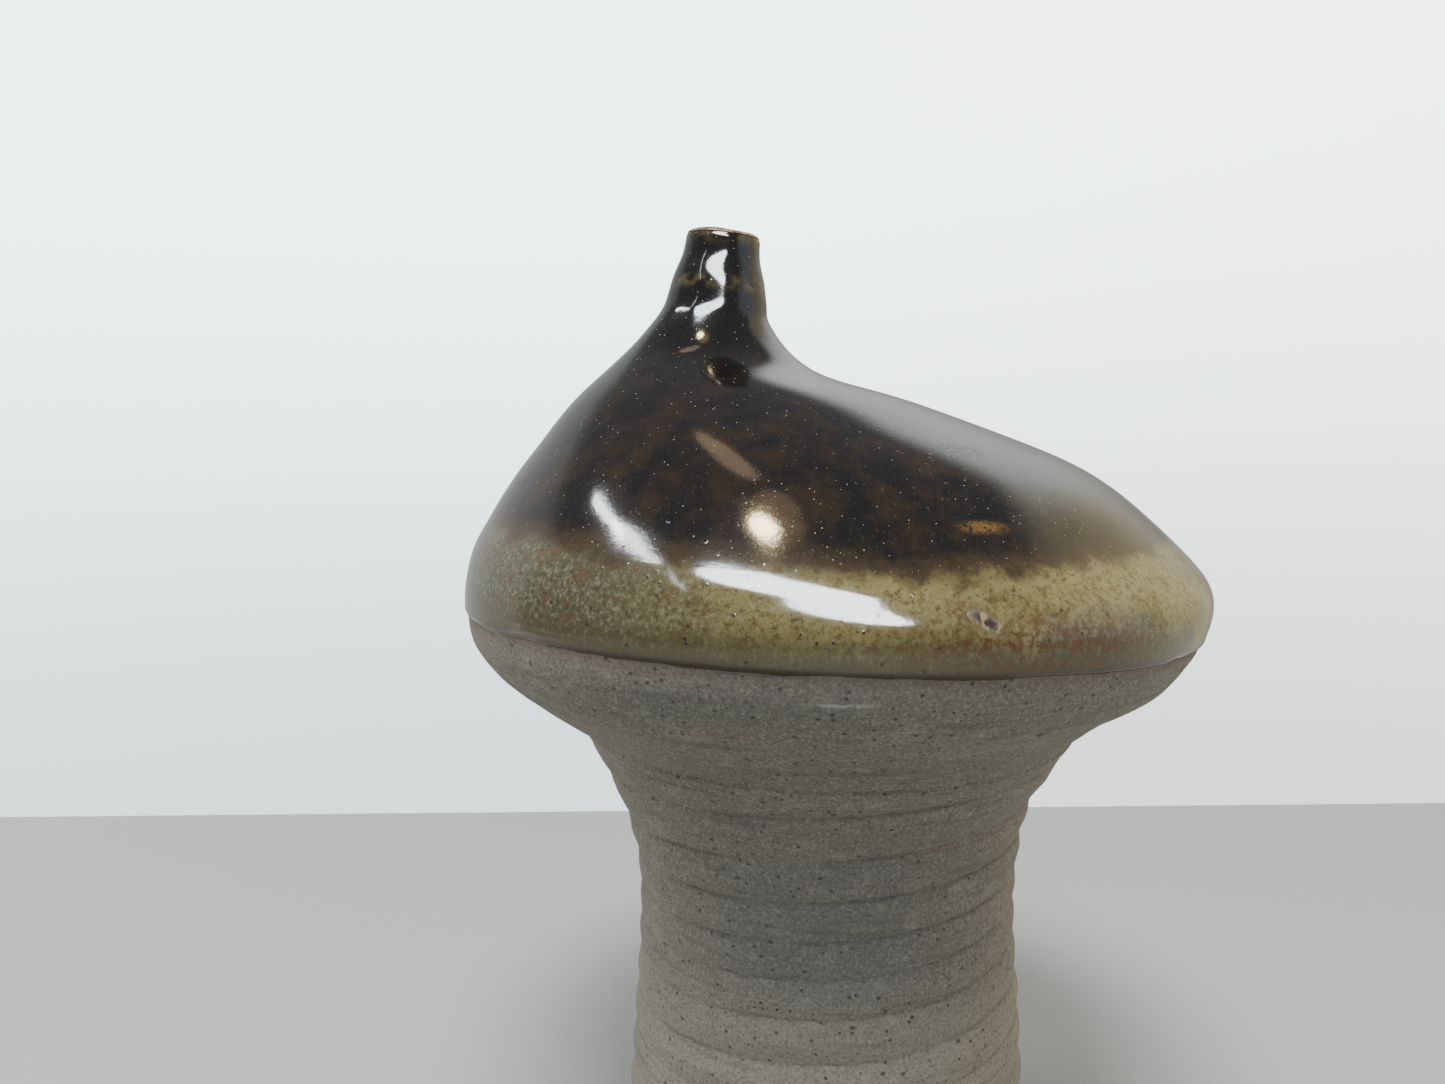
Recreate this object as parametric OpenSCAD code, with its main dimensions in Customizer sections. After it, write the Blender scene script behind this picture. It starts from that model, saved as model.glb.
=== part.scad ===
// Stoneware weed-pot vase: a thrown pedestal, a wide closed head that leans to one side, a narrow neck,
// and the glaze coats on it. Millimetres, +Z up, +X towards the long shoulder, -Y towards the front.
// The origin is on the pedestal's axis, on the surface that the foot stands on.

/* [Pedestal] */
// Radius of the foot where it meets the table
foot_r = 46.5; // [45:0.5:49]
// Smallest radius of the pedestal, at its waist
waist_r = 43; // [41.5:0.5:44]
// Radius of the pedestal's flared rim, where the head sits
seam_r = 54.6; // [54:0.1:56]
// Height of that rim above the table
seam_z = 110; // [106:1:114]
// Height from one throwing ring to the next
ring_pitch = 9; // [8:0.5:11]
// Depth of the groove between two throwing rings
ring_depth = 0.8; // [0.4:0.1:1.2]

/* [Head] */
// Width of the clay head, from the short shoulder to the long one
head_w = 160; // [154:1:168]
// Depth of the clay head from front to back
head_d = 146; // [136:1:152]
// Height of the head, from its seam to the base of the neck
head_h = 86.6; // [82:0.1:92]

/* [Neck] */
// Distance of the neck's base from the pedestal's axis, towards the short shoulder
neck_offset = 25; // [22:0.5:27]
// Outer radius of the neck at its base
neck_base_r = 12.3; // [11.5:0.1:13]
// Length of the neck, from its base to the top of the lip
neck_len = 20; // [18:0.5:24]
// Radius of the bore through the neck
bore_r = 5; // [4:0.25:5.5]
// Lean of the neck towards the long shoulder, in degrees
neck_lean = 6; // [0:0.5:8]

/* [Walls and glaze] */
// Thickness of the thrown clay wall
wall = 5.5; // [4.5:0.5:6.5]
// Thickness of the floor inside the pedestal
floor_t = 9; // [7:0.5:12]
// Thickness of the slip that joins the head to the pedestal
slip_t = 0.8; // [0.5:0.1:1]
// Thickness of the glaze coats
coat = 0.6; // [0.4:0.1:0.8]
// Sides round the head
sides = 48; // [36:12:60]

/* [Hidden] */
$fn = 96;

clay = [0.52, 0.49, 0.44];
slip = [0.60, 0.55, 0.48];
olive = [0.42, 0.38, 0.19];
tenmoku = [0.09, 0.07, 0.05];
liner = [0.17, 0.12, 0.08];

bevel = 1.5;          // broken edge round the foot
rim_w = 8.5;          // width of the pedestal's rim, which the slip covers
bead = 0.3;           // how far the slip stands proud of the seam
spans = 2;            // rings drawn per span between two ribs
lip = 1.2;            // height of the rounded lip, which the glaze stops below
top_z = seam_z + head_h;
rim_z = seam_z - slip_t;
inner_seam_r = seam_r - rim_w;

// A smooth curve through the rows of a table. The place s counts rows.
function blend(a, b, c, d, t) =
    0.5 * (2 * b + (c - a) * t + (2 * a - 5 * b + 4 * c - d) * t * t + (3 * b - a - 3 * c + d) * t * t * t);
function row(rows, i) =
    i < 0 ? 2 * rows[0] - rows[1]
    : i >= len(rows) ? 2 * rows[len(rows) - 1] - rows[len(rows) - 2]
    : rows[i];
function along(rows, s) =
    let (i = min(max(floor(s), 0), len(rows) - 2))
    blend(row(rows, i - 1), row(rows, i), row(rows, i + 1), row(rows, i + 2), s - i);
function unit(v) = v / norm(v);
function reversed(list) = [for (i = [len(list) - 1 : -1 : 0]) list[i]];

// Pedestal outline as [radius, height]: foot, slow taper to the waist, then the trumpet flare.
flare = [
    [foot_r, 0],
    [foot_r - 0.7, 0.18 * rim_z],
    [waist_r + 1.5, 0.38 * rim_z],
    [waist_r + 0.1, 0.56 * rim_z],
    [waist_r + 0.1, 0.69 * rim_z],
    [waist_r + 1.7, 0.79 * rim_z],
    [waist_r + 4.3, 0.87 * rim_z],
    [waist_r + 8.2, 0.94 * rim_z],
    [seam_r, rim_z]
];

// Ribs of the head, each an oval hoop: [left x, left z, right x, right z, half depth, rise of the front].
// These rows stand between the seam and the neck, with heights above the seam. They are drawn for a head
// 160 wide, 146 deep and 86.6 high.
rib_rows = [
    [-65.8, 6.8, 64.3, 7.6, 62, 0.5],
    [-73.1, 11.9, 72.5, 11.9, 67.5, 1.5],
    [-78.2, 18.3, 77.4, 17.8, 71.5, 2.5],
    [-79.3, 25.1, 79, 20.9, 73, 3.5],
    [-79.2, 29.7, 80.5, 28.9, 73, 3],
    [-77.7, 37.2, 77.4, 35.5, 71, 1],
    [-74.5, 43.8, 73.1, 40.2, 68.3, -0.5],
    [-69.2, 52.3, 63, 49.3, 60.5, -0.3],
    [-62.8, 60.7, 50.8, 56.9, 51.5, 0],
    [-56.5, 68.7, 33.5, 63.8, 40.5, 0],
    [-49.5, 75.5, 13.3, 70.8, 28.5, 0],
    [-42.6, 81.9, -3.9, 76.4, 18, 0]
];
drawn = [160, 146, 86.6];
scale_x = head_w / drawn[0];
scale_y = head_d / drawn[1];
scale_z = head_h / drawn[2];
neck_dx = neck_base_r * cos(neck_lean);
neck_dz = neck_base_r * sin(neck_lean);
ribs = concat(
    [[-seam_r, seam_z, seam_r, seam_z, seam_r, 0]],
    [for (r = rib_rows) [
        r[0] * scale_x,
        seam_z + r[1] * scale_z,
        r[2] * scale_x,
        seam_z + r[3] * scale_z,
        r[4] * scale_y,
        r[5]
    ]],
    [[-neck_offset - neck_dx, top_z + neck_dz, -neck_offset + neck_dx, top_z - neck_dz, neck_base_r, 0]]
);
olive_rib = 4;    // lower edge of the olive glaze
equator_rib = 5;  // joint between bowl and dome
dark_rib = 7;     // lower edge of the dark glaze
root_rib = 12;    // root of the neck
neck_rib = 13;    // base of the neck

// One hoop of points round the head at rib s, moved outwards by off, or inwards where it is negative.
function hoop(s, off = 0) =
    let (
        p = along(ribs, s),
        d = along(ribs, s + 0.1) - along(ribs, s - 0.1),
        n_left = unit([-d[1], d[0]]),
        n_right = unit([d[3], -d[2]]),
        n_front = unit([(d[1] + d[3]) / 2, -d[4]]),
        left = [p[0], p[1]] + off * n_left,
        right = [p[2], p[3]] + off * n_right,
        half_y = p[4] + off * n_front[0],
        mid_z = (left[1] + right[1]) / 2,
        crown = (p[1] + p[3]) / 2 + off * n_front[1] - mid_z
    )
    [for (i = [0 : sides - 1])
        let (a = 360 * i / sides)
        [
            (left[0] + right[0]) / 2 + (right[0] - left[0]) / 2 * cos(a),
            half_y * sin(a),
            mid_z + (right[1] - left[1]) / 2 * cos(a) + crown * pow(sin(a), 2) - p[5] * sin(a)
        ]];
function hoops(from, to, off = 0) = [for (k = [from * spans : to * spans]) hoop(k / spans, off)];

// A level ring of points about the pedestal's axis, and a ring about the leaning neck.
function level_ring(r, z) = [for (i = [0 : sides - 1]) [r * cos(360 * i / sides), r * sin(360 * i / sides), z]];
function neck_ring(r, h) =
    [for (i = [0 : sides - 1])
        let (a = 360 * i / sides)
        [
            -neck_offset + r * cos(a) * cos(neck_lean) + h * sin(neck_lean),
            r * sin(a),
            top_z - r * cos(a) * sin(neck_lean) + h * cos(neck_lean)
        ]];

// A solid through a list of rings. It closes on itself as a sleeve, or is capped at both ends.
module through(rings, sleeve = true) {
    count = len(rings);
    last = sleeve ? count - 1 : count - 2;
    walls = [for (k = [0 : last], i = [0 : sides - 1])
        let (
            a = k * sides + i,
            b = k * sides + (i + 1) % sides,
            c = ((k + 1) % count) * sides + (i + 1) % sides,
            d = ((k + 1) % count) * sides + i
        )
        each [[a, c, b], [a, d, c]]];
    caps = sleeve ? [] : [
        [for (i = [0 : sides - 1]) i],
        [for (i = [sides - 1 : -1 : 0]) (count - 1) * sides + i]
    ];
    polyhedron(points = [for (r = rings) each r], faces = concat(walls, caps), convexity = 8);
}

// Throwing rings: scallops up the outside of the pedestal, fading out at its foot and rim.
function groove(z) = ring_depth * pow(sin(180 * z / ring_pitch), 8) * min(1, z / 8, (rim_z - z) / 4);
outer_steps = 72;
outer_rows = [for (k = [2 : outer_steps - 1])
    let (p = along(flare, k * (len(flare) - 1) / outer_steps))
    [p[0] - groove(p[1]), p[1]]];

// The inside of the pedestal: one wall's thickness in from the smooth outline, above a rounded corner.
inner_steps = 14;
corner = 4;
inner_rows = [for (k = [0 : inner_steps])
    let (
        s = k * (len(flare) - 1) / inner_steps,
        d = along(flare, s + 0.1) - along(flare, s - 0.1),
        p = along(flare, s) + wall * unit([-d[1], d[0]])
    )
    if (p[1] > floor_t + corner && p[1] < rim_z - corner) p];
floor_r = inner_rows[0][0] - corner;

module pedestal() {
    color(clay)
    rotate_extrude()
    polygon(concat(
        [[0, 0], [foot_r - bevel, 0], [foot_r, bevel]],
        outer_rows,
        [[seam_r, rim_z], [inner_seam_r, rim_z]],
        reversed(inner_rows),
        [[floor_r, floor_t], [0, floor_t]]
    ));
}

// Joining slip between the pedestal's rim and the head, squeezed out into a thin bead.
module seam_slip() {
    color(slip)
    rotate_extrude()
    polygon([
        [inner_seam_r, rim_z],
        [seam_r, rim_z],
        [seam_r + bead, (rim_z + seam_z) / 2],
        [seam_r, seam_z],
        [inner_seam_r, seam_z]
    ]);
}

// Lower half of the head, from the slip seam to the widest place.
module lower_bowl() {
    color(clay)
    through(concat(
        hoops(0, equator_rib),
        reversed(hoops(1, equator_rib, -wall)),
        [level_ring(inner_seam_r, seam_z)]
    ));
}

// Upper half of the head, joined to the bowl rim to rim, with the hole under the neck.
module upper_dome() {
    color(clay)
    through(concat(
        hoops(equator_rib, neck_rib - 1 / spans),
        [neck_ring(neck_base_r, 0), neck_ring(bore_r, 0)],
        reversed(hoops(equator_rib, root_rib, -wall))
    ));
}

// Neck outline as [radius, height above its base], up to the lip.
neck_rows = [
    [neck_base_r, 0],
    [bore_r + 5.6, 0.2 * neck_len],
    [bore_r + 4.9, 0.38 * neck_len],
    [bore_r + 4.2, 0.52 * neck_len],
    [bore_r + 3.2, 0.67 * neck_len],
    [bore_r + 2.7, 0.8 * neck_len],
    [bore_r + 2.5, neck_len - lip]
];

module neck() {
    lip_r = 1.25;
    color(clay)
    translate([-neck_offset, 0, top_z])
    rotate([0, neck_lean, 0])
    rotate_extrude()
    polygon(concat(
        neck_rows,
        [for (a = [30 : 30 : 150]) [bore_r + lip_r * (1 + cos(a)), neck_len - lip + lip * sin(a)]],
        [[bore_r, neck_len - lip], [bore_r, 0]]
    ));
}

// Olive ash glaze: the band round the widest place.
module olive_glaze() {
    color(olive)
    through(concat(
        hoops(olive_rib, dark_rib, coat),
        reversed(hoops(olive_rib, dark_rib))
    ));
}

// Dark iron glaze: over the shoulder and up the neck to the lip.
module dark_glaze() {
    color(tenmoku)
    through(concat(
        hoops(dark_rib, neck_rib - 1 / spans, coat),
        [for (r = neck_rows) neck_ring(r[0] + coat, r[1])],
        [for (r = reversed(neck_rows)) neck_ring(r[0], r[1])],
        reversed(hoops(dark_rib, neck_rib - 1 / spans))
    ));
}

// Glaze poured round the inside: over the floor, up the pedestal, bowl and dome, to the root of the neck.
module liner_glaze() {
    color(liner)
    through(concat(
        [level_ring(floor_r, floor_t)],
        [for (p = inner_rows) level_ring(p[0], p[1])],
        [level_ring(inner_seam_r, rim_z), level_ring(inner_seam_r, seam_z)],
        hoops(1, root_rib, -wall),
        reversed(hoops(1, root_rib, -wall - coat)),
        [level_ring(inner_seam_r - coat, seam_z), level_ring(inner_seam_r - coat, rim_z)],
        [for (p = reversed(inner_rows)) level_ring(p[0] - coat, p[1])],
        [level_ring(floor_r - coat, floor_t + coat)]
    ), sleeve = false);
}

pedestal();
seam_slip();
lower_bowl();
upper_dome();
neck();
olive_glaze();
dark_glaze();
liner_glaze();
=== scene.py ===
"""Looks of the stoneware weed-pot vase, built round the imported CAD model.

Lengths are worked out in millimetres and turned into metres when a mesh is made. Angles go round the
pedestal's axis from +X, so the front of the vase is at -90 degrees. All unevenness comes from fixed seeds.
"""

import math

import bpy
import numpy as np
from mathutils import Matrix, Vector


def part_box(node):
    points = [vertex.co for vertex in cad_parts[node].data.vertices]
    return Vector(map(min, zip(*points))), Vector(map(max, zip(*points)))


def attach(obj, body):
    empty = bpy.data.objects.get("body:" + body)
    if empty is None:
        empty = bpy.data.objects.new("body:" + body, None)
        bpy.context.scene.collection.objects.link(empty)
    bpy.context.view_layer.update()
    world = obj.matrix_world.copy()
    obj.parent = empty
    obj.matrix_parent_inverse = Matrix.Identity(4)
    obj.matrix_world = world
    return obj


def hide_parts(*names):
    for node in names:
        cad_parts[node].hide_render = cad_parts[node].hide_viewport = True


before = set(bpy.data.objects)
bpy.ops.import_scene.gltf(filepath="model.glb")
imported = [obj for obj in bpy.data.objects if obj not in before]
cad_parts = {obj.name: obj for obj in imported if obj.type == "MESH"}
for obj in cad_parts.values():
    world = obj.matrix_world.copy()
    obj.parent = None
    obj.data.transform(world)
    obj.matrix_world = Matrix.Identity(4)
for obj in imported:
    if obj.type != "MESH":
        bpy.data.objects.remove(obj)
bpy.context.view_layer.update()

MM = 0.001
TURN = 2 * math.pi


def corners_mm(node):
    """Lowest and highest corner of a CAD node, in millimetres."""
    return [np.array(corner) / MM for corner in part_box(node)]


# ---------------------------------------------------------------- sizes in mm
RIM_Z = corners_mm("pedestal")[1][2]  # top of the pedestal
SEAM_Z = corners_mm("lower_bowl")[0][2]  # bottom of the head
SEAM_R = 54.6
RIM_W = 8.5
WALL = 5.5
FLOOR_T = 9.0
GLAZE_T = 0.5
NECK_OFFSET = 25.0
NECK_BASE_R = 12.3
NECK_BASE_Z = SEAM_Z + 86.6
NECK_LEN = 20.0
NECK_LEAN = math.radians(6)
BORE_R = 5.0
LIP = 1.2

AROUND = 384  # points in each ring
ANGLES = np.linspace(0, TURN, AROUND, endpoint=False)


# ---------------------------------------------------------------- curves
def along(rows, place):
    """Smooth curve through the rows of a table. The place counts rows and may be an array."""
    rows = np.asarray(rows, float)
    place = np.asarray(place, float)
    ends = np.vstack([2 * rows[0] - rows[1], rows, 2 * rows[-1] - rows[-2]])
    i = np.clip(np.floor(place).astype(int), 0, len(rows) - 2)
    t = (place - i)[..., None]
    a, b, c, d = ends[i], ends[i + 1], ends[i + 2], ends[i + 3]
    return 0.5 * (2 * b + (c - a) * t + (2 * a - 5 * b + 4 * c - d) * t**2 + (3 * b - a - 3 * c + d) * t**3)


def bends(rows):
    """Second derivatives at the rows of a table, for the smoothest curve through them."""
    count = len(rows)
    a = np.eye(count)
    b = np.zeros((count, rows.shape[1]))
    for i in range(1, count - 1):
        a[i, i - 1:i + 2] = 1, 4, 1
        b[i] = 6 * (rows[i - 1] - 2 * rows[i] + rows[i + 1])
    return np.linalg.solve(a, b)


def fair(rows, curvature, place):
    """The smoothest curve through the rows, at a place that counts rows and may be an array."""
    i = np.clip(np.floor(place).astype(int), 0, len(rows) - 2)
    t = (place - i)[..., None]
    straight = rows[i] * (1 - t) + rows[i + 1] * t
    return straight - t * (1 - t) / 6 * ((2 - t) * curvature[i] + (1 + t) * curvature[i + 1])


def smoothstep(low, high, value):
    t = np.clip((value - low) / (high - low), 0, 1)
    return t * t * (3 - 2 * t)


def from_table(table, value):
    """Straight-line reading of a table of [position, value] rows."""
    table = np.array(table)
    return np.interp(value, table[:, 0], table[:, 1])


# ---------------------------------------------------------------- outlines
# Pedestal outline as [radius, height], as in the CAD.
FLARE = np.array([
    [46.5, 0],
    [45.8, 0.18 * RIM_Z],
    [44.5, 0.38 * RIM_Z],
    [43.1, 0.56 * RIM_Z],
    [43.1, 0.69 * RIM_Z],
    [44.7, 0.79 * RIM_Z],
    [47.3, 0.87 * RIM_Z],
    [51.2, 0.94 * RIM_Z],
    [SEAM_R, RIM_Z],
])

# Ribs of the head, as in the CAD: [left x, left z, right x, right z, half depth, rise of the front],
# with heights above the seam.
RIB_ROWS = np.array([
    [-SEAM_R, 0, SEAM_R, 0, SEAM_R, 0],
    [-65.8, 6.8, 64.3, 7.6, 62, 0.5],
    [-73.1, 11.9, 72.5, 11.9, 67.5, 1.5],
    [-78.2, 18.3, 77.4, 17.8, 71.5, 2.5],
    [-79.3, 25.1, 79, 20.9, 73, 3.5],
    [-79.2, 29.7, 80.5, 28.9, 73, 3],
    [-77.7, 37.2, 77.4, 35.5, 71, 1],
    [-74.5, 43.8, 73.1, 40.2, 68.3, -0.5],
    [-69.2, 52.3, 63, 49.3, 60.5, -0.3],
    [-62.8, 60.7, 50.8, 56.9, 51.5, 0],
    [-56.5, 68.7, 33.5, 63.8, 40.5, 0],
    [-49.5, 75.5, 13.3, 70.8, 28.5, 0],
    [-42.6, 81.9, -3.9, 76.4, 18, 0],
])
RIB_ROWS[:, [1, 3]] += SEAM_Z
OLIVE_RIB = 4
EQUATOR_RIB = 5
DARK_RIB = 7
ROOT_RIB = 12
NECK_RIB = 13

# Neck outline as [radius, height above its base], as in the CAD.
NECK_ROWS = [
    [NECK_BASE_R, 0],
    [BORE_R + 5.6, 0.2 * NECK_LEN],
    [BORE_R + 4.9, 0.38 * NECK_LEN],
    [BORE_R + 4.2, 0.52 * NECK_LEN],
    [BORE_R + 3.2, 0.67 * NECK_LEN],
    [BORE_R + 2.7, 0.8 * NECK_LEN],
    [BORE_R + 2.5, NECK_LEN - LIP],
]


def neck_point(r, h, angle):
    """Point at radius r and height h in the leaning neck's own axes."""
    return np.stack([
        -NECK_OFFSET + r * np.cos(angle) * math.cos(NECK_LEAN) + h * math.sin(NECK_LEAN),
        r * np.sin(angle) + 0 * h,
        NECK_BASE_Z - r * np.cos(angle) * math.sin(NECK_LEAN) + h * math.cos(NECK_LEAN),
    ], -1)


def neck_rib(r, h):
    """A ring of the neck, written as a rib of the head."""
    left, right = neck_point(r, h, math.pi), neck_point(r, h, 0.0)
    return [left[0], left[2], right[0], right[2], r, 0]


RIBS = np.vstack([RIB_ROWS, [neck_rib(r, h) for r, h in NECK_ROWS]])
RIB_BENDS = bends(RIBS)
TOP_RIB = len(RIBS) - 1


def hoop(place, off=0.0):
    """Ring of points of the head or neck at a rib place, moved outwards by off. Both may be arrays."""
    place, off, angle = np.broadcast_arrays(np.asarray(place, float), off, ANGLES)
    p = fair(RIBS, RIB_BENDS, place)
    d = fair(RIBS, RIB_BENDS, place + 0.05) - fair(RIBS, RIB_BENDS, place - 0.05)

    def outward(rise, run):
        length = np.hypot(rise, run)
        return rise / length, run / length

    left_n = outward(-d[..., 1], d[..., 0])
    right_n = outward(d[..., 3], -d[..., 2])
    front_n = outward((d[..., 1] + d[..., 3]) / 2, -d[..., 4])
    left_x, left_z = p[..., 0] + off * left_n[0], p[..., 1] + off * left_n[1]
    right_x, right_z = p[..., 2] + off * right_n[0], p[..., 3] + off * right_n[1]
    mid_z = (left_z + right_z) / 2
    slant = (right_z - left_z) / 2 * np.cos(angle)
    crown = (p[..., 1] + p[..., 3]) / 2 + off * front_n[1] - mid_z
    return np.stack([
        (left_x + right_x) / 2 + (right_x - left_x) / 2 * np.cos(angle),
        (p[..., 4] + off * front_n[0]) * np.sin(angle),
        mid_z + slant + crown * np.sin(angle) ** 2 - p[..., 5] * np.sin(angle),
    ], -1)


# ---------------------------------------------------------------- hand-made unevenness
WAVES = 14  # sine waves summed by waviness

# Heights over which the head's rings grow faint under the glaze, and over which all unevenness ends.
RINGS_FADE = (132, 137)
RELIEF_FADE = (188, 197)

# Heights of the grooves between the throwing rings, seen from the front, and how far the wall sways in X.
GROOVES = [-8, 2, 12, 21.5, 31, 40.5, 49.7, 58.9, 67.1, 74.9, 83.5, 92.6, 103.4, 114]
GROOVE_SLANT = 1.6  # a groove's rise from the front to the right
GROOVE_SHAPE = [[0, 1.3], [30, 1.1], [60, 0.55], [RIM_Z, 0.55]]
SWAY = [[0, 0.9], [50, 0.9], [66, 0.5], [80, 0.3], [88, -0.2], [97, -0.6], [RIM_Z - 3, 0.0], [200, 0.0]]
GROOVE_DEPTH = [[0, 0.5], [22, 0.8], [50, 0.9], [67, 0.75], [84, 0.85], [93, 1.05], [104, 0.8], [RIM_Z, 0.25]]


def waviness(points, wavelength, seed):
    """Smooth noise from -1 to 1 at these points (in mm), from sine waves in random directions."""
    rng = np.random.default_rng(seed)
    total = np.zeros(points.shape[:-1])
    for _ in range(WAVES):
        direction = rng.normal(size=3)
        direction *= TURN / (wavelength * rng.uniform(0.7, 1.5)) / np.linalg.norm(direction)
        total += np.sin(points @ direction + rng.uniform(0, TURN))
    return np.clip(total / math.sqrt(WAVES) / 1.4, -1, 1)


def belly_relief(points):
    """Thrower's unevenness of the head, in mm inwards: soft dents, and faint rings going round it."""
    dents = 0.05 * waviness(points, 50, 3)
    height = points[..., 2] + 0.9 * waviness(points, 90, 5)
    bare = 1 - smoothstep(*RINGS_FADE, points[..., 2])
    wide = (0.010 + 0.03 * bare) * np.sin(TURN * height / 7.3)
    fine = 0.02 * bare * np.sin(TURN * height / 3.1 + 1.0)
    rings = wide + fine
    fade = 1 - smoothstep(*RELIEF_FADE, points[..., 2])
    return (0.1 + dents + rings) * fade


def groove_distance(height, angle):
    """0 in the spiral groove of the pedestal, rising to 1 on the crests between its turns."""
    turned = angle + math.pi / 2  # from the front, positive towards +X
    turned = (turned + math.pi) % TURN - math.pi
    level = height - GROOVE_SLANT * np.sin(turned)
    phase = np.interp(level, GROOVES, np.arange(len(GROOVES))) - turned / TURN
    return np.abs(phase - np.round(phase)) * 2


def pedestal_radius(height, angle):
    """Radius of the thrown wall, with its spiral of rings and the fine lines of the throwing."""
    fine = np.linspace(0, len(FLARE) - 1, 400)
    outline = along(FLARE, fine)
    radius = np.interp(height, outline[:, 1], outline[:, 0])
    distance = groove_distance(height, angle)
    points = np.stack([radius * np.cos(angle), radius * np.sin(angle), height], -1)
    depth = from_table(GROOVE_DEPTH, height) * (1 + 0.35 * waviness(points, 60, 11))
    bulge = depth * (1 - distance ** from_table(GROOVE_SHAPE, height))
    crease = 0.3 * smoothstep(5, 60, height) * np.exp(-((distance / 0.06) ** 2))
    lip_line = crease * (0.6 + 0.4 * waviness(points, 25, 12))
    stretched = points * [0.25, 0.25, 1.0]
    combing = 0.06 * waviness(stretched, 2.6, 13) + 0.03 * waviness(stretched, 1.7, 14)
    dents = 0.18 * waviness(points, 45, 15)
    edge = smoothstep(0, 4, height) * (1 - smoothstep(RIM_Z - 2, RIM_Z, height))
    return radius - (bulge + lip_line + combing + dents + 0.1) * edge


def pedestal_ring(radius, height):
    """Ring of points of the pedestal, which sways a little to the sides with its height."""
    sway = from_table(SWAY, height)
    return np.stack([radius * np.cos(ANGLES) + sway, radius * np.sin(ANGLES), height + 0 * ANGLES], -1)


# ---------------------------------------------------------------- meshes
def solid(name, rings, sleeve=True):
    """A closed mesh through rings of points in mm: a sleeve that closes on itself, or capped at both ends."""
    rings = np.asarray(rings)
    count, around = rings.shape[:2]
    last = count if sleeve else count - 1
    k, i = np.meshgrid(np.arange(last), np.arange(around), indexing="ij")
    upper, beside = (k + 1) % count, (i + 1) % around
    quads = np.stack([k * around + i, k * around + beside, upper * around + beside, upper * around + i], -1)
    faces = quads.reshape(-1, 4).tolist()
    if not sleeve:
        faces.append(list(range(around))[::-1])
        faces.append(list(range((count - 1) * around, count * around)))
    mesh = bpy.data.meshes.new(name)
    mesh.from_pydata((rings.reshape(-1, 3) * MM).tolist(), [], faces)
    mesh.polygons.foreach_set("use_smooth", [True] * len(mesh.polygons))
    mesh.set_sharp_from_angle(angle=math.radians(50))
    piece = bpy.data.objects.new(name, mesh)
    bpy.context.collection.objects.link(piece)
    return piece


def places(start, end, step=0.1):
    """Rib places from start to end, about a step apart."""
    return np.linspace(start, end, max(2, round((end - start) / step) + 1))


def head_skin(steps, off=0.0, relief=True):
    """Rings of the head at these rib places, with the thrower's unevenness pressed into them."""
    steps = np.asarray(steps, float)
    place = np.broadcast_to(steps[:, None], (len(steps), AROUND))
    plain = hoop(place, off)
    return hoop(place, off - belly_relief(plain)) if relief else plain


def shown_for(piece, node, material):
    """Makes a piece stand for its CAD node and ride on the one body."""
    piece.data.materials.append(material)
    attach(piece, "root")
    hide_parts(node)


# The pedestal's foot, and its floor inside, as (radius, height), with the floor's heights above its top face.
FOOT = [(44.6, 0.0), (45.4, 0.25), (46.0, 0.9)]
FLOOR = [(38.5, 6.0), (37.0, 2.2), (33.5, 0.4), (28.0, 0)]


def paint_groove_shade(piece, rings):
    """Stores how much painted shade darkens the groove at each point, which bare_clay reads as "groove"."""
    spread = np.broadcast_to(ANGLES, rings.shape[:2])
    # Painted shade in the grooves, fading out towards the foot.
    shade_amount = (0.45 + 0.7 * waviness(rings, 26, 16)) * smoothstep(10, 62, rings[..., 2])
    groove = np.exp(-((groove_distance(rings[..., 2], spread) / 0.09) ** 2)) * shade_amount
    shade_layer = piece.data.attributes.new("groove", "FLOAT", "POINT")
    shade_layer.data.foreach_set("value", np.clip(groove, 0, 1).ravel())


def make_pedestal():
    heights = np.concatenate([[1.6], np.arange(2.0, RIM_Z - 0.2, 0.55), [RIM_Z]])
    wall = [pedestal_ring(pedestal_radius(h + 0 * ANGLES, ANGLES), h) for h in heights]
    wall[-1] = pedestal_ring(SEAM_R + 0 * ANGLES, RIM_Z)
    foot = [pedestal_ring(r + 0 * ANGLES, h) for r, h in FOOT]
    outline = along(FLARE, np.linspace(0.8, 7.4, 40))
    inside_r = outline[:, 0] - WALL - 0.35
    inside = [pedestal_ring(r + 0 * ANGLES, h) for r, h in zip(inside_r, outline[:, 1])]
    seat = [pedestal_ring(SEAM_R - RIM_W + 0 * ANGLES, RIM_Z)]
    floor = [pedestal_ring(r + 0 * ANGLES, FLOOR_T + h) for r, h in FLOOR]
    rings = np.array(foot + wall + seat + inside[::-1] + floor)
    piece = solid("thrown_pedestal", rings, sleeve=False)
    paint_groove_shade(piece, rings)
    return piece


def make_slip():
    """The ring of slip in the seam, wiped almost flush: two faint lips with a line between them."""
    outline = [
        (SEAM_R - RIM_W, RIM_Z),
        (SEAM_R, RIM_Z),
        (SEAM_R + 0.02, RIM_Z + 0.3),
        (SEAM_R, (RIM_Z + SEAM_Z) / 2),
        (SEAM_R + 0.02, SEAM_Z - 0.3),
        (SEAM_R, SEAM_Z),
        (SEAM_R - RIM_W, SEAM_Z),
    ]
    rings = []
    for r, h in outline:
        ring = pedestal_ring(r + 0 * ANGLES, h)
        swell = 0.02 * waviness(ring, 14, 21) if r > SEAM_R else 0
        rings.append(pedestal_ring(r + swell + 0 * ANGLES, h))
    return solid("joining_slip", rings)


def make_bowl():
    outer = head_skin(places(0, EQUATOR_RIB))
    outer[0] = pedestal_ring(SEAM_R + 0 * ANGLES, SEAM_Z)
    inner = head_skin(places(1, EQUATOR_RIB, 0.25), -WALL, relief=False)
    seat = pedestal_ring(SEAM_R - RIM_W + 0 * ANGLES, SEAM_Z)
    return solid("thrown_bowl", np.concatenate([outer, inner[::-1], seat[None]]))


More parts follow.
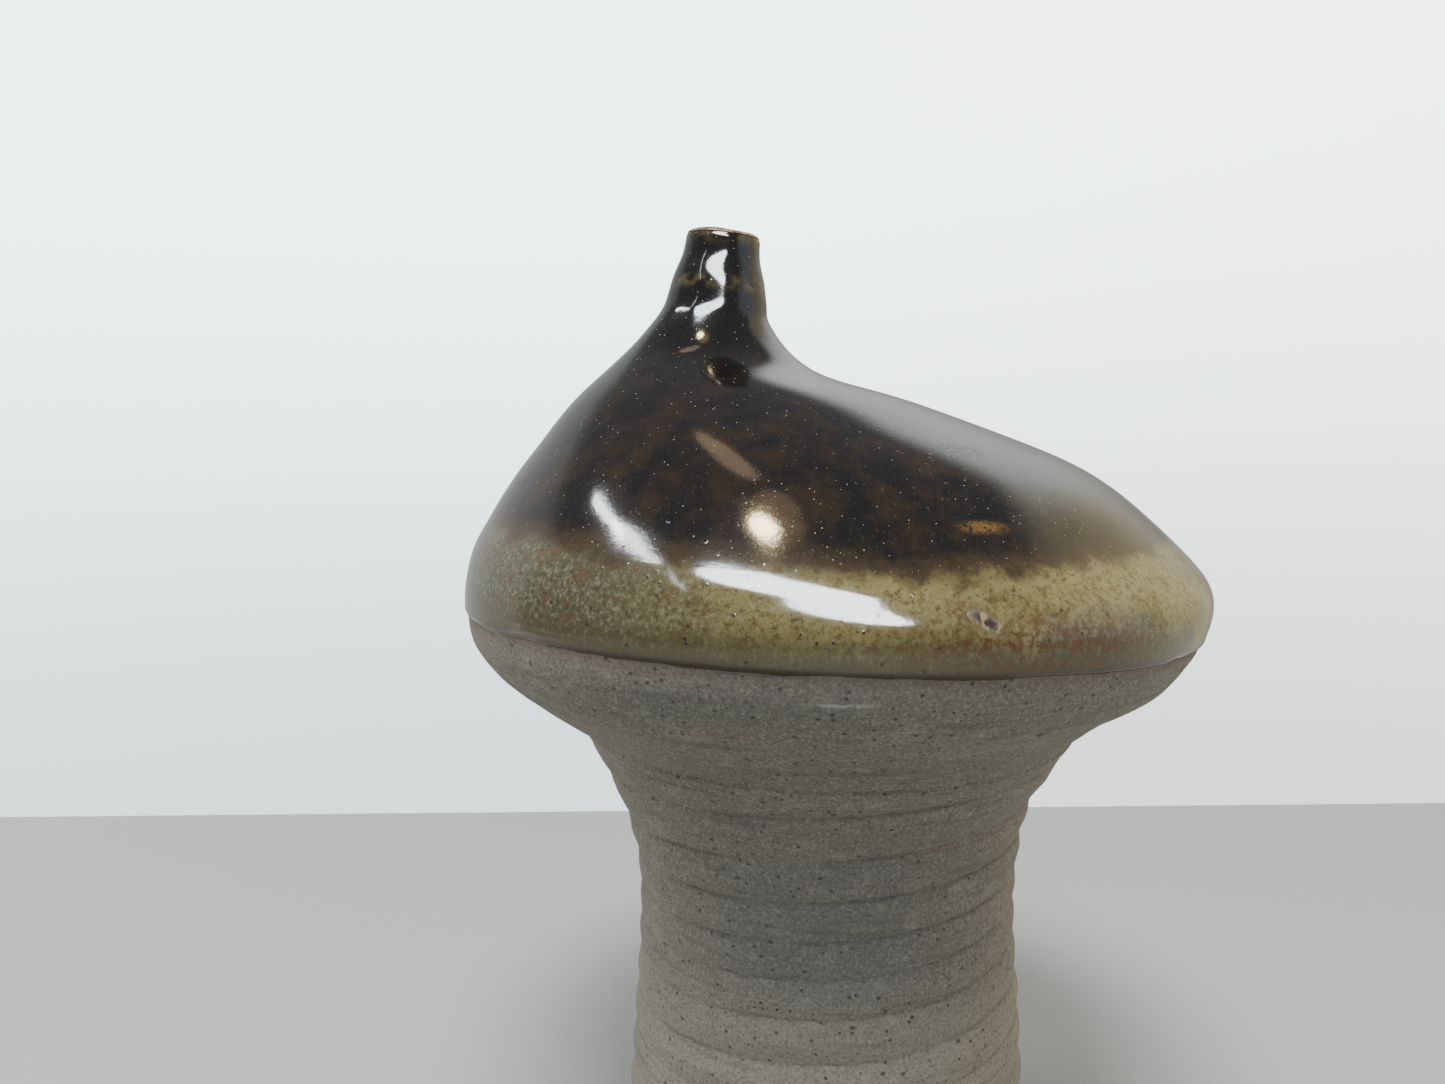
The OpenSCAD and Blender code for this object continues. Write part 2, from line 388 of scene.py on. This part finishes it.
def make_dome():
    outer = head_skin(places(EQUATOR_RIB, NECK_RIB))
    inner = head_skin(places(EQUATOR_RIB, ROOT_RIB, 0.25), -WALL, relief=False)
    bore = neck_point(BORE_R, 0, ANGLES)
    return solid("thrown_dome", np.concatenate([outer, bore[None], inner[::-1]]))


def make_neck():
    """The neck, with a rounded lip that dips unevenly by up to half a millimetre."""
    outer = head_skin(places(NECK_RIB, TOP_RIB, 0.2))
    rounded = []
    for step in range(1, 12):
        a = math.pi * step / 12
        r = BORE_R + 1.25 * (1 + math.cos(a)) + 0.4 * (1 + math.cos(a)) / 2
        ring = neck_point(r + 0 * ANGLES, NECK_LEN - LIP + LIP * math.sin(a), ANGLES)
        ring[:, 2] -= 0.25 * (1 + waviness(ring, 11, 31)) * math.sin(a)
        rounded.append(ring)
    bore = [neck_point(BORE_R, h, ANGLES) for h in np.linspace(NECK_LEN - LIP, 0, 12)]
    return solid("thrown_neck", np.concatenate([outer, rounded, bore]))


def make_olive():
    """The olive coat. Its lower edge wanders a little and swells into a thin roll before it ends."""
    steps = places(OLIVE_RIB, DARK_RIB, 0.06)
    place = np.broadcast_to(steps[:, None], (len(steps), AROUND)).copy()
    edge = hoop(OLIVE_RIB)
    wander = 0.05 * waviness(edge, 22, 41) + 0.025 * waviness(edge, 7, 42)
    place += (1 - smoothstep(OLIVE_RIB, OLIVE_RIB + 1.2, place)) * (wander - 0.16)
    relief = belly_relief(hoop(place))
    up = (place - place[0]) * 5.0  # about 5 mm to a rib
    roll = 0.07 * np.exp(-(((up - 1.2) / 0.8) ** 2))
    thick = GLAZE_T * np.sqrt(smoothstep(0, 1.1, up)) + roll
    outer = hoop(place, thick - relief)
    inner = hoop(place, -relief)
    return solid("olive_coat", np.concatenate([outer, inner[::-1]]))


def make_dark():
    """The dark coat over the shoulder and neck. It starts from the olive coat's upper edge."""
    steps = np.concatenate([places(DARK_RIB, NECK_RIB), places(NECK_RIB, TOP_RIB)[1:]])
    place = np.broadcast_to(steps[:, None], (len(steps), AROUND))
    relief = belly_relief(hoop(place))
    thick = GLAZE_T + 0.08 * smoothstep(ROOT_RIB - 1, ROOT_RIB + 1, place)
    thick = thick * (1 - 0.3 * smoothstep(TOP_RIB - 0.25, TOP_RIB, place))
    outer = hoop(place, thick - relief)
    inner = hoop(place, -relief)
    return solid("dark_coat", np.concatenate([outer, inner[::-1]]))


# ---------------------------------------------------------------- nodes
class Nodes:
    """A node tree that is built up from a few short calls. Its place is the point being shaded."""

    def __init__(self, tree, coordinates):
        self.tree = tree
        self.place = tree.nodes.new("ShaderNodeTexCoord").outputs[coordinates]

    def plug(self, value, socket):
        if isinstance(value, bpy.types.NodeSocket):
            self.tree.links.new(value, socket)
        elif socket.type == "RGBA" and len(value) == 3:
            socket.default_value = (*value, 1)
        else:
            socket.default_value = value

    def node(self, kind, out, inputs=None, **settings):
        """Adds a node, and gives its output of this name or number."""
        n = self.tree.nodes.new(kind)
        for key, value in settings.items():
            setattr(n, key, value)
        for key, value in (inputs or {}).items():
            self.plug(value, n.inputs[key])
        return n.outputs[out]

    def axis(self, letter):
        return self.node("ShaderNodeSeparateXYZ", letter, {"Vector": self.place})

    def math(self, operation, a, b=0.0):
        return self.node("ShaderNodeMath", 0, {0: a, 1: b}, operation=operation)

    def times(self, a, b):
        return self.math("MULTIPLY", a, b)

    def most(self, a, b):
        return self.math("MAXIMUM", a, b)

    def between(self, value, low, high, to_low=0.0, to_high=1.0):
        """Smooth step of a value from low to high."""
        inputs = {"Value": value, "From Min": low, "From Max": high, "To Min": to_low, "To Max": to_high}
        return self.node("ShaderNodeMapRange", 0, inputs, interpolation_type="SMOOTHSTEP")

    def mix(self, factor, a, b, blend="MIX"):
        """Colour a where the factor is 0, and b mixed or multiplied in where it is 1."""
        return self.node("ShaderNodeMix", 2, {0: factor, 6: a, 7: b}, data_type="RGBA", blend_type=blend)


class Finish(Nodes):
    """A surface material. Positions in it are in metres in the vase's frame."""

    def __init__(self, name):
        self.material = bpy.data.materials.new(name)
        self.material.use_nodes = True
        super().__init__(self.material.node_tree, "Object")
        self.shader = self.tree.nodes["Principled BSDF"]

    def stretched(self, scale, shift=(0, 0, 0)):
        return self.node("ShaderNodeMapping", 0, {"Vector": self.place, "Scale": scale, "Location": shift})

    def noise(self, size_mm, detail=3, place=None, roughness=0.55):
        inputs = {
            "Vector": place or self.place,
            "Scale": 1 / (size_mm * MM),
            "Detail": detail,
            "Roughness": roughness,
        }
        return self.node("ShaderNodeTexNoise", "Fac", inputs)

    def height_over(self, plane):
        """Height in mm over a tilted plane, given as (slope x, slope y, height mm)."""
        inputs = {0: self.place, 1: (-plane[0], -plane[1], 1)}
        tilt = self.node("ShaderNodeVectorMath", "Value", inputs, operation="DOT_PRODUCT")
        return self.math("SUBTRACT", self.math("DIVIDE", tilt, MM), plane[2])

    def near(self, centre_mm, radii_mm, tilt=0.0):
        """1 at a centre, falling to 0 on an ellipsoid round it. Its tilt to the right is in degrees."""
        inputs = {
            "Vector": self.place,
            "Location": tuple(c * MM for c in centre_mm),
            "Rotation": (0, math.radians(tilt), 0),
            "Scale": tuple(r * MM for r in radii_mm),
        }
        local = self.node("ShaderNodeMapping", 0, inputs, vector_type="TEXTURE")
        distance = self.node("ShaderNodeVectorMath", "Value", {0: local}, operation="LENGTH")
        return self.between(distance, 1.0, 0.2)

    def specks(self, cell_mm, size, share, place=None):
        """Round specks: size is a part of the cell, and share is the part of the cells that hold one."""
        tex = self.tree.nodes.new("ShaderNodeTexVoronoi")
        self.plug(place or self.place, tex.inputs["Vector"])
        tex.inputs["Scale"].default_value = 1 / (cell_mm * MM)
        split = self.node("ShaderNodeSeparateColor", "Red", {"Color": tex.outputs["Color"]})
        held = self.math("LESS_THAN", split, share)
        wobble = self.times(self.noise(cell_mm * 0.25, 2), size * 0.8)
        radius = self.math("ADD", tex.outputs["Distance"], wobble)
        spot = self.between(radius, size * 1.5, size * 1.1)
        return self.times(spot, held)

    def bump(self, height, distance_mm, after=None):
        inputs = {"Height": height, "Distance": distance_mm * MM, "Strength": 1.0}
        if after:
            inputs["Normal"] = after
        return self.node("ShaderNodeBump", "Normal", inputs)

    def set(self, **inputs):
        """Fills in the shader's sockets, and gives the material."""
        for key, value in inputs.items():
            self.plug(value, self.shader.inputs[key.replace("_", " ")])
        return self.material


# ---------------------------------------------------------------- bare clay
# Planes that the glaze edges and the neck's foot follow: (slope x, slope y, height mm).
OLIVE_EDGE = (-0.0265, -0.048, SEAM_Z + 22.0)
DARK_EDGE = (-0.0200, 0.0450, SEAM_Z + 45.2)
NECK_FOOT = (-0.105, 0, NECK_BASE_Z - 2.6)

CLAY_IOR = 1.45
LIP_IOR = 1.5
GLAZE_IOR = 1.6

CLAY_GREY = (0.142, 0.127, 0.100)
CLAY_GREEN = (0.120, 0.111, 0.086)
CLAY_WARM = (0.150, 0.118, 0.094)
CLAY_PALE = (0.27, 0.25, 0.21)
# Dark grains of the clay, and the painted shade in the throwing lines.
DARK_GRAIN_AND_LINE_SHADE = (0.062, 0.058, 0.048)
# Paler clay towards the foot, partly painted light.
PALE_FOOT_AND_PAINTED_LIGHT = (0.250, 0.235, 0.170)
WIPED_CLAY = (0.42, 0.40, 0.36)
# Painted shade in the pedestal's grooves.
GROOVE_PAINTED_SHADE = (0.052, 0.040, 0.030)
IRON = (0.02, 0.018, 0.016)
BLUSH = (0.13, 0.075, 0.058)

# Single marks in the clay: the centre and radii of an ellipsoid, in mm.
WIPE_MARK = ((3.5, -73, 130.4), (8, 8, 0.6))
GOUGE = ((38, -57, 122), (2.2, 3, 0.9))


def clay_body(f, sand):
    """Grey clay with green and warm bands, with soft patches and sand in it. It is paler towards the foot:
    partly a yellower clay, partly painted light below the belly's shade.
    """
    bands = f.noise(60, 4, f.stretched((1, 1, 7)))
    colour = f.mix(f.between(bands, 0.35, 0.65), CLAY_GREEN, CLAY_GREY)
    rusty = f.between(f.noise(38, 5, f.stretched((1, 1, 11), (3, 1, 2))), 0.54, 0.70)
    colour = f.mix(f.times(rusty, 0.55), colour, CLAY_WARM)
    # Painted light: paler below the belly's shade, partly from a yellower clay there.
    colour = f.mix(f.between(f.axis("Z"), 0.072, 0.045, 0, 0.4), colour, PALE_FOOT_AND_PAINTED_LIGHT)
    soft = f.noise(5, 4, f.stretched((1, 1, 2)))
    colour = f.mix(f.between(soft, 0.52, 0.72, 0, 0.3), colour, CLAY_PALE)
    colour = f.mix(f.between(sand, 0.52, 0.66, 0, 0.55), colour, CLAY_PALE)
    return f.mix(f.between(sand, 0.48, 0.34, 0, 0.6), colour, DARK_GRAIN_AND_LINE_SHADE)


def with_blush(f, colour):
    """Reddens the clay just below the glaze's edge: a soft halo and a thin line."""
    wander = f.times(f.math("SUBTRACT", f.noise(6, 3), 0.5), 1.6)
    edge = f.math("ADD", f.height_over(OLIVE_EDGE), wander)
    halo = f.between(edge, -3.0, -0.2, 0, 0.30)
    line = f.between(edge, -0.9, -0.1, 0, 0.5)
    return f.mix(f.most(halo, line), colour, BLUSH)


def iron_specks(f):
    """Iron specks of three sizes, the smallest ones faint."""
    tiny = f.specks(1.7, 0.15, 0.9)
    small = f.specks(2.5, 0.18, 0.8, f.stretched((1, 1, 1.15), (1, 2, 3)))
    large = f.specks(5.5, 0.105, 0.5, f.stretched((1, 1, 1.3), (5, 3, 1)))
    return f.most(f.times(tiny, 0.6), f.most(small, large))


def with_clay_marks(f, colour):
    """Adds the pale wipe mark and the dark gouge to the head's clay."""
    wiped = f.times(f.near(*WIPE_MARK), f.between(f.noise(1.6, 3), 0.40, 0.52))
    colour = f.mix(f.times(wiped, 0.6), colour, WIPED_CLAY)
    return f.mix(f.times(f.near(*GOUGE), 0.9), colour, IRON)


def bare_clay(name):
    """Unglazed clay. The painted shade in the grooves shows only on the pedestal, which has the "groove"
    attribute.
    """
    f = Finish(name)
    sand = f.noise(0.62, 2, roughness=0.8)
    iron = iron_specks(f)
    lines = f.noise(9, 4, f.stretched((0.35, 0.35, 6)))
    groove = f.node("ShaderNodeAttribute", "Fac", attribute_name="groove")
    colour = with_blush(f, clay_body(f, sand))
    colour = f.mix(f.times(iron, 0.95), colour, IRON)
    colour = with_clay_marks(f, colour)
    # Painted shade: the pedestal's grooves darkened.
    colour = f.mix(f.times(groove, 0.7), colour, GROOVE_PAINTED_SHADE)
    # Painted shade: the fine throwing lines darkened where their bump is low.
    colour = f.mix(f.between(lines, 0.44, 0.34, 0, 0.35), colour, DARK_GRAIN_AND_LINE_SHADE)
    normal = f.bump(sand, 0.22)
    normal = f.bump(lines, 0.2, normal)
    normal = f.bump(iron, 0.05, normal)
    roughness = f.between(iron, 0, 1, 0.82, 0.5)
    return f.set(Base_Color=colour, Roughness=roughness, Normal=normal, IOR=CLAY_IOR)


def lip_clay():
    """The neck's clay: it shows at the lip, where the glaze has run off it and left it rusty."""
    f = Finish("lip_clay")
    patches = f.noise(2.2, 5, roughness=0.65)
    colour = f.mix(f.between(patches, 0.38, 0.62), (0.10, 0.045, 0.03), (0.30, 0.19, 0.11))
    colour = f.mix(f.between(f.noise(0.8, 3), 0.45, 0.3, 0, 0.7), colour, (0.03, 0.015, 0.01))
    return f.set(Base_Color=colour, Roughness=0.38, Normal=f.bump(patches, 0.08), IOR=LIP_IOR)


# ---------------------------------------------------------------- glazes
OLIVE = (0.086, 0.070, 0.023)
KHAKI = (0.180, 0.155, 0.062)
GREY_GREEN = (0.046, 0.050, 0.036)
TAN = (0.225, 0.198, 0.122)
DARK_OLIVE = (0.035, 0.025, 0.008)
DEEP_GREEN = (0.062, 0.052, 0.020)
BROWN = (0.085, 0.045, 0.014)
SPOT = (0.018, 0.010, 0.006)
TOFFEE = (0.04, 0.027, 0.013)
RUST = (0.085, 0.030, 0.005)
BLACK = (0.0045, 0.0047, 0.0055)
AMBER = (0.023, 0.014, 0.006)
# Painted glints.
PAINTED_GLINT = (0.34, 0.31, 0.25)
SLOPE_BROWN = (0.056, 0.036, 0.013)
SCAR_RIM = (0.27, 0.19, 0.095)
SCAR_GLOW = (0.16, 0.085, 0.022)

# Single marks in the glaze: the centre and radii of an ellipsoid, in mm, and its tilt in degrees.
RUST_PATCH = ((36, -63, 139.5), (36, 28, 7.0))
CRATER = ((26, -69.5, 144.5), (5.4, 8, 1.7), 31)
EMBER = ((27, -57.5, 158.4), (6.5, 9, 1.5), 3)
EMBER_CORE = ((26.5, -56.5, 160.0), (7.0, 9, 0.8), 3)
NICKS = ((25.5, -39, 170.5), (6.0, 9, 1.3), 6)


def iron_spots(f, above):
    """Dark spots of two sizes in the olive glaze, strongest near its lower edge."""
    small = f.specks(2.6, 0.14, 0.55)
    large = f.specks(7.5, 0.085, 0.45, f.stretched((1, 1, 1), (2, 5, 1)))
    return f.times(f.most(small, large), f.between(above, 17, 4, 0.45, 1.0))


def olive_colour(f, above, over, mottle, spots):
    """Clouded olive ash glaze: greyer to the left, paler at its top, deeper where it gathers at its edge."""
    left = f.between(f.axis("X"), -0.002, -0.044)
    cloud = f.noise(14, 6, roughness=0.6)
    tops = f.between(over, -17, -4, -0.12, 0.16)
    colour = f.mix(f.between(f.math("ADD", cloud, tops), 0.36, 0.66), OLIVE, KHAKI)
    colour = f.mix(f.times(left, 0.85), colour, GREY_GREEN)
    tan_share = f.math("ADD", f.times(left, 0.1), 0.45)
    colour = f.mix(f.times(f.between(mottle, 0.52, 0.62), tan_share), colour, TAN)
    colour = f.mix(f.between(mottle, 0.48, 0.36, 0, 0.75), colour, DARK_OLIVE)
    brown = f.between(f.noise(3.2, 5, roughness=0.75), 0.52, 0.62)
    colour = f.mix(f.times(brown, 0.6), colour, BROWN)
    runs = f.noise(1.1, 3, f.stretched((1, 1, 0.18)))
    deep = f.times(f.between(above, 9.0, 1.5), f.between(runs, 0.3, 0.65, 0.5, 0.9))
    colour = f.mix(deep, colour, DEEP_GREEN)
    colour = f.mix(f.between(above, 2.6, 0.5, 0, 0.9), colour, DARK_OLIVE)
    rusty = f.between(f.noise(1.7, 5, roughness=0.8), 0.46, 0.56)
    rusty = f.times(f.near(*RUST_PATCH), rusty)
    colour = f.mix(f.times(rusty, 0.95), colour, RUST)
    return f.mix(f.times(spots, 0.9), colour, SPOT)


def dark_colour(f, over, mottle):
    """Near-black iron glaze: amber clouds, toffee grain near its lower edge, browner down the right slope."""
    clouds = f.between(f.noise(7, 7, roughness=0.7), 0.38, 0.68)
    low = f.between(over, 45, 0, 0.3, 1.0)
    colour = f.mix(f.times(clouds, low), BLACK, AMBER)
    grain = f.times(f.between(mottle, 0.54, 0.74), f.between(over, 22, 0, 0, 0.8))
    colour = f.mix(grain, colour, TOFFEE)
    return f.mix(f.between(f.axis("X"), 0.030, 0.075, 0, 0.85), colour, SLOPE_BROWN)


def feathered(f, over, mottle, olive, dark):
    """The dark glaze over the olive one, through a ragged toffee-coloured border."""
    ragged = f.times(f.math("SUBTRACT", f.noise(8, 5, roughness=0.6), 0.5), 7.0)
    grainy = f.times(f.math("SUBTRACT", mottle, 0.5), 4.0)
    border = f.math("ADD", f.math("ADD", over, ragged), grainy)
    colour = f.mix(f.between(border, -2.0, 0.8), olive, TOFFEE)
    return f.mix(f.between(border, 0.0, 3.6), colour, dark)


def with_neck_patches(f, colour):
    """Adds patches of olive round the lip and in a belt half way down the neck."""
    up = f.height_over(NECK_FOOT)
    patchy = f.between(f.noise(2.4, 5), 0.40, 0.60)
    rim = f.between(up, 15.5, 19.0)
    belt = f.between(f.math("ABSOLUTE", f.math("SUBTRACT", up, 8.4)), 2.3, 0.3)
    return f.mix(f.times(f.times(f.most(rim, belt), patchy), 0.6), colour, OLIVE)


def with_scars(f, mottle, colour):
    """Adds the three scars. Gives the colour, where the crater is, and where the surface is torn."""
    crater = f.near(*CRATER)
    pits = f.times(crater, f.between(f.noise(0.9, 3, f.stretched((1, 1, 0.5))), 0.42, 0.50))
    colour = f.mix(f.times(crater, 0.9), colour, SCAR_RIM)
    colour = f.mix(pits, colour, SPOT)
    ember = f.times(f.near(*EMBER), f.between(mottle, 0.36, 0.58))
    core = f.near(*EMBER_CORE)
    colour = f.mix(f.times(ember, 0.9), colour, SCAR_GLOW)
    colour = f.mix(f.times(core, 0.95), colour, BLACK)
    nicks = f.times(f.near(*NICKS), f.between(f.noise(0.8, 2), 0.50, 0.56))
    colour = f.mix(nicks, colour, BLACK)
    return colour, crater, f.most(pits, f.most(core, nicks))


def glaze_bump(f, spots, torn):
    """Very shallow relief: the glaze's ripple and skin, its spots, and its scars pressed in."""
    normal = f.bump(f.noise(2.6, 2, roughness=0.4), 0.006)
    normal = f.bump(f.noise(0.9, 3, f.stretched((1, 1, 0.7)), 0.6), 0.009, normal)
    normal = f.bump(spots, 0.03, normal)
    return f.bump(f.times(torn, -1.0), 0.06, normal)


def fired_glaze(name):
    """Both glazes in one recipe, so that the dark one feathers into the olive one across their joint."""
    f = Finish(name)
    above = f.height_over(OLIVE_EDGE)
    over = f.height_over(DARK_EDGE)
    mottle = f.noise(0.95, 4, roughness=0.8)
    spots = iron_spots(f, above)
    olive = olive_colour(f, above, over, mottle, spots)
    colour = feathered(f, over, mottle, olive, dark_colour(f, over, mottle))
    colour, crater, torn = with_scars(f, mottle, with_neck_patches(f, colour))
    # Painted glints: pale specks that stand for tiny sparkles of light, strongest on the dark glaze.
    glint_specks = f.most(f.specks(1.15, 0.10, 0.5), f.times(f.specks(0.6, 0.12, 0.5), 0.35))
    colour = f.mix(f.times(glint_specks, f.between(over, -1, 3, 0.15, 0.8)), colour, PAINTED_GLINT)
    roughness = f.between(f.most(glint_specks, crater), 0, 1, 0.09, 0.6)
    # The reflection is weaker at the coat's lower edge and in the crater.
    sheen = f.math("SUBTRACT", f.between(above, 0.3, 1.5, 0.08, 0.5), f.times(crater, 0.35))
    f.set(Base_Color=colour, Roughness=roughness, Normal=glaze_bump(f, spots, torn))
    return f.set(IOR=GLAZE_IOR, Specular_IOR_Level=sheen)


def liner():
    """The brown glaze poured round the inside."""
    f = Finish("liner_glaze")
    colour = f.mix(f.between(f.noise(7, 5), 0.4, 0.62), (0.02, 0.012, 0.007), (0.06, 0.035, 0.015))
    return f.set(Base_Color=colour, Roughness=0.15, Normal=f.bump(f.noise(5, 2), 0.05), IOR=GLAZE_IOR)


# ---------------------------------------------------------------- the vase
def make_vase():
    clay = bare_clay("bare_clay")
    olive_finish = fired_glaze("olive_glaze")
    dark_finish = fired_glaze("dark_glaze")

    shown_for(make_pedestal(), "pedestal", clay)
    shown_for(make_slip(), "seam_slip", bare_clay("joining_slip"))
    shown_for(make_bowl(), "lower_bowl", clay)
    shown_for(make_dome(), "upper_dome", clay)
    shown_for(make_neck(), "neck", lip_clay())
    shown_for(make_olive(), "olive_glaze", olive_finish)
    shown_for(make_dark(), "dark_glaze", dark_finish)

    inner_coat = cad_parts["liner_glaze"]
    inner_coat.data.materials.clear()
    inner_coat.data.materials.append(liner())


# ---------------------------------------------------------------- floor, in metres
FLOOR_REACH = 0.9
FLOOR_BACK = (0.123, 0.339)  # where its back edge ends at the left and at the right: it runs at a slant


def make_floor():
    corners = [
        (-FLOOR_REACH, -FLOOR_REACH, 0),
        (FLOOR_REACH, -FLOOR_REACH, 0),
        (FLOOR_REACH, FLOOR_BACK[1], 0),
        (-FLOOR_REACH, FLOOR_BACK[0], 0),
    ]
    mesh = bpy.data.meshes.new("floor")
    mesh.from_pydata(corners, [], [(0, 1, 2, 3)])
    floor = bpy.data.objects.new("floor", mesh)
    bpy.context.collection.objects.link(floor)
    floor.data.materials.append(Finish("pale_floor").set(Base_Color=(0.385, 0.41, 0.41), Roughness=0.6))


# ---------------------------------------------------------------- world
def seen_wall(sky):
    """The wall that the camera sees: brighter upwards, and warmer to the right."""
    wall = sky.mix(sky.between(sky.axis("Z"), -0.32, 0.30), (1.70, 1.93, 1.95), (4.5, 5.6, 5.45))
    warmer = sky.mix(sky.between(sky.axis("X"), -0.3, 0.6), (1.0, 1.0, 1.0), (0.93, 0.90, 0.81))
    return sky.mix(1.0, wall, warmer, "MULTIPLY")


def lighting_room(sky):
    """The room that lights the vase and shows in it: a pale wall behind it, and a dim room round the rest."""
    across, up = sky.axis("X"), sky.axis("Z")
    behind = sky.between(sky.axis("Y"), 0.10, 0.22)
    low = sky.between(sky.math("SUBTRACT", up, sky.times(across, 0.16)), 0.70, 0.56)
    glow = sky.mix(sky.between(up, 0.05, 0.60), (0.42, 0.42, 0.40), (1.8, 1.9, 1.85))
    glow = sky.mix(sky.between(across, 0.0, -0.3), glow, (0.62, 0.65, 0.66))
    glow = sky.mix(sky.between(across, 0.45, 0.68), glow, (0.95, 0.88, 0.62))
    front = sky.mix(sky.between(across, 0.72, 0.9), (0.27, 0.275, 0.29), (0.85, 0.92, 1.0))
    return sky.mix(sky.times(behind, low), front, glow)


def make_world():
    world = bpy.data.worlds.new("room")
    world.use_nodes = True
    bpy.context.scene.world = world
    sky = Nodes(world.node_tree, "Generated")
    lit = sky.node("ShaderNodeBackground", 0, {"Color": lighting_room(sky)})
    seen = sky.node("ShaderNodeBackground", 0, {"Color": seen_wall(sky)})
    rays = sky.node("ShaderNodeLightPath", "Is Camera Ray")
    choice = sky.node("ShaderNodeMixShader", 0, {0: rays, 1: lit, 2: seen})
    sky.plug(choice, sky.tree.nodes["World Output"].inputs["Surface"])


# ---------------------------------------------------------------- lights
SHOULDER = np.array([-0.015, -0.055, 0.155])  # in metres
COOL = (0.88, 0.95, 1.0)
NEUTRAL = (1.0, 0.99, 0.96)
WARM = (1.0, 0.86, 0.60)
LAMP = (1.0, 0.80, 0.46)
LAMP_HALO = (1.0, 0.66, 0.34)
LAMP_GLOW = (1.0, 0.70, 0.45)

# Lights as (name, start, end, width, radiance, colour). Start and end are the directions of the panel's two
# ends from the shoulder, as (azimuth, elevation) in degrees, and the width is in metres.
IN_GLOSS = [
    ("window_left", (-106, 41.5), (-84, 46.5), 0.045, 26, COOL),
    ("window_left_end", (-92, 45), (-66, 51.5), 0.045, 26, COOL),
    ("window_tail", (-62, 51), (-43, 34), 0.018, 14, COOL),
    ("window_front", (-52, 56), (24, 29), 0.30, 36, COOL),
    ("lamp", (-46, 75), (-24, 72), 0.10, 70, LAMP),
    ("lamp_halo", (-66, 83), (-10, 73), 0.15, 1.0, LAMP_HALO),
    ("lamp_glow", (-138, 66), (-100, 82), 0.10, 1.6, LAMP_GLOW),
]
ON_MATT = [
    ("key", (-40, 67), (25, 67), 0.33, 42, NEUTRAL),
    ("fill_left", (-120, -5), (-90, 20), 0.35, 10.0, NEUTRAL),
    ("fill_right", (95, -5), (125, 20), 0.35, 6.4, WARM),
]


def from_front(azimuth, elevation):
    """Direction at an azimuth from the front (positive towards +X) and an elevation, in degrees."""
    a, e = math.radians(azimuth), math.radians(elevation)
    return np.array([math.sin(a) * math.cos(e), -math.cos(a) * math.cos(e), math.sin(e)])


def panel(name, start, end, width, radiance, colour, gloss):
    """A soft oval light about a metre from the shoulder, seen only in gloss or only on matt surfaces."""
    a, b = SHOULDER + from_front(*start), SHOULDER + from_front(*end)
    centre = (a + b) / 2
    facing = (centre - SHOULDER) / np.linalg.norm(centre - SHOULDER)
    side = (b - a) / np.linalg.norm(b - a)
    side -= facing * (side @ facing)
    side /= np.linalg.norm(side)
    up = np.cross(facing, side)
    data = bpy.data.lights.new(name, "AREA")
    data.shape = "ELLIPSE"
    data.size = float(np.linalg.norm(b - a))
    data.size_y = width
    data.energy = radiance * math.pi * data.size * data.size_y
    data.color = colour
    light = bpy.data.objects.new(name, data)
    axes = np.array([side, up, facing]).T
    light.matrix_world = Matrix([[*row, place] for row, place in zip(axes, centre)] + [[0, 0, 0, 1]])
    light.visible_glossy = gloss
    light.visible_diffuse = not gloss
    bpy.context.collection.objects.link(light)


def make_lights():
    for row in IN_GLOSS:
        panel(*row, gloss=True)
    for row in ON_MATT:
        panel(*row, gloss=False)


# ---------------------------------------------------------------- camera
def make_camera():
    """A 28 mm lens a quarter of a metre in front of the vase's axis, turned and tipped down a little."""
    data = bpy.data.cameras.new("camera")
    data.sensor_width = 36.0
    data.lens = 28.0
    camera = bpy.data.objects.new("camera", data)
    bpy.context.collection.objects.link(camera)
    pitch, yaw = math.radians(7.2), math.radians(5.3)
    camera.location = (0, -0.2508, 0.180)
    camera.rotation_euler = (math.pi / 2 - pitch, 0, yaw)
    bpy.context.scene.camera = camera


make_vase()
make_floor()
make_world()
make_lights()
make_camera()
